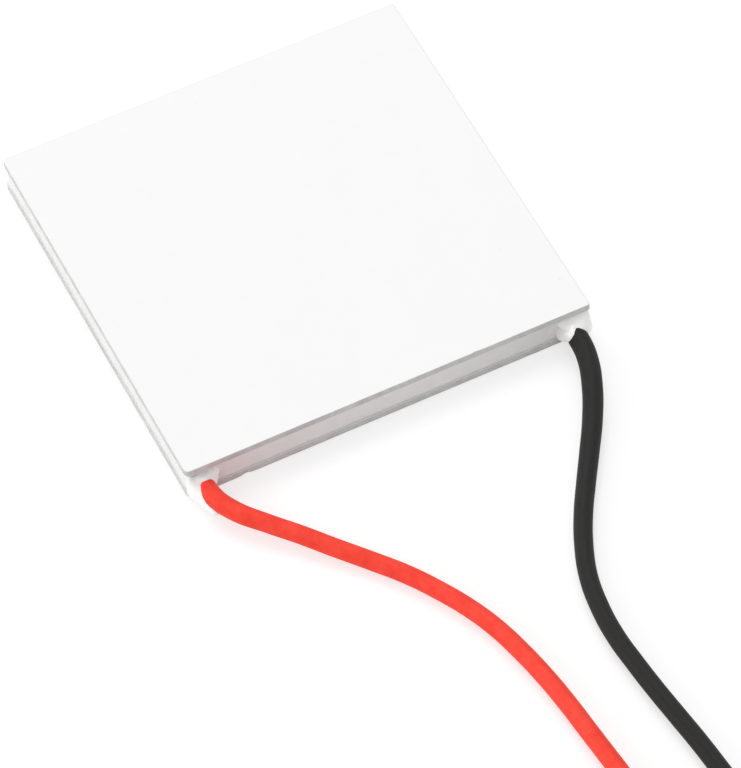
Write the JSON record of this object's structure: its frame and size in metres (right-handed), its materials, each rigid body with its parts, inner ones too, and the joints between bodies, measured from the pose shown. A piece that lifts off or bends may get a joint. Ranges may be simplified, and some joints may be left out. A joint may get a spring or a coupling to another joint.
{
  "type": "thermoelectric cooling module",
  "caption": "Flat square solid-state heat pump: two ceramic plates around a chain of semiconductor pellets, sealed at the edge, with a red and a black lead.",
  "frame": {"origin": "middle of the hot side's outer face, the one that the module lies on", "axes": "+Z out of the cold side; the leads leave the front edge towards -Y, the red positive one at -X and the black negative one at +X"},
  "size_m": [0.0479, 0.1161, 0.0038],
  "materials": {
    "alumina": "fired white alumina, ground flat, fine matt",
    "edge_silicone": "smooth ivory silicone with a soft sheen",
    "lead_silicone": "glossy white silicone lump",
    "tab_copper": "rolled copper, dull from soldering",
    "n_telluride": "sawn crystalline grey",
    "p_telluride": "sawn crystalline grey with a bluish cast",
    "solder": "smooth solder",
    "tinned_wire": "tinned copper strands, satin",
    "red_insulation": "red vinyl, smooth satin",
    "black_insulation": "black vinyl, matt"
  },
  "bodies": {
    "root": {"hot_side_plate": "alumina", "cold_side_plate": "alumina", "edge_seal": "edge_silicone", "hot_side_tabs": "tab_copper", "cold_side_tabs": "tab_copper", "positive_terminal_tab": "tab_copper", "negative_terminal_tab": "tab_copper", "n_pellets_column_1": "n_telluride", "n_pellets_column_2": "n_telluride", "n_pellets_column_3": "n_telluride", "n_pellets_column_4": "n_telluride", "n_pellets_column_5": "n_telluride", "n_pellets_column_6": "n_telluride", "n_pellets_column_7": "n_telluride", "n_pellets_column_8": "n_telluride", "n_pellets_column_9": "n_telluride", "n_pellets_column_10": "n_telluride", "n_pellets_column_11": "n_telluride", "n_pellets_column_12": "n_telluride", "n_pellets_column_13": "n_telluride", "n_pellets_column_14": "n_telluride", "n_pellets_column_15": "n_telluride", "n_pellets_column_16": "n_telluride", "p_pellets_column_1": "p_telluride", "p_pellets_column_2": "p_telluride", "p_pellets_column_3": "p_telluride", "p_pellets_column_4": "p_telluride", "p_pellets_column_5": "p_telluride", "p_pellets_column_6": "p_telluride", "p_pellets_column_7": "p_telluride", "p_pellets_column_8": "p_telluride", "p_pellets_column_9": "p_telluride", "p_pellets_column_10": "p_telluride", "p_pellets_column_11": "p_telluride", "p_pellets_column_12": "p_telluride", "p_pellets_column_13": "p_telluride", "p_pellets_column_14": "p_telluride", "p_pellets_column_15": "p_telluride", "p_pellets_column_16": "p_telluride", "red_lead_core": "tinned_wire", "red_lead_solder": "solder", "red_lead_seal": "lead_silicone", "red_lead": "red_insulation", "red_lead_coil": "red_insulation", "red_lead_tip": "tinned_wire", "black_lead_core": "tinned_wire", "black_lead_solder": "solder", "black_lead_seal": "lead_silicone", "black_lead": "black_insulation", "black_lead_coil": "black_insulation", "black_lead_tip": "tinned_wire"}
  },
  "joints": []
}
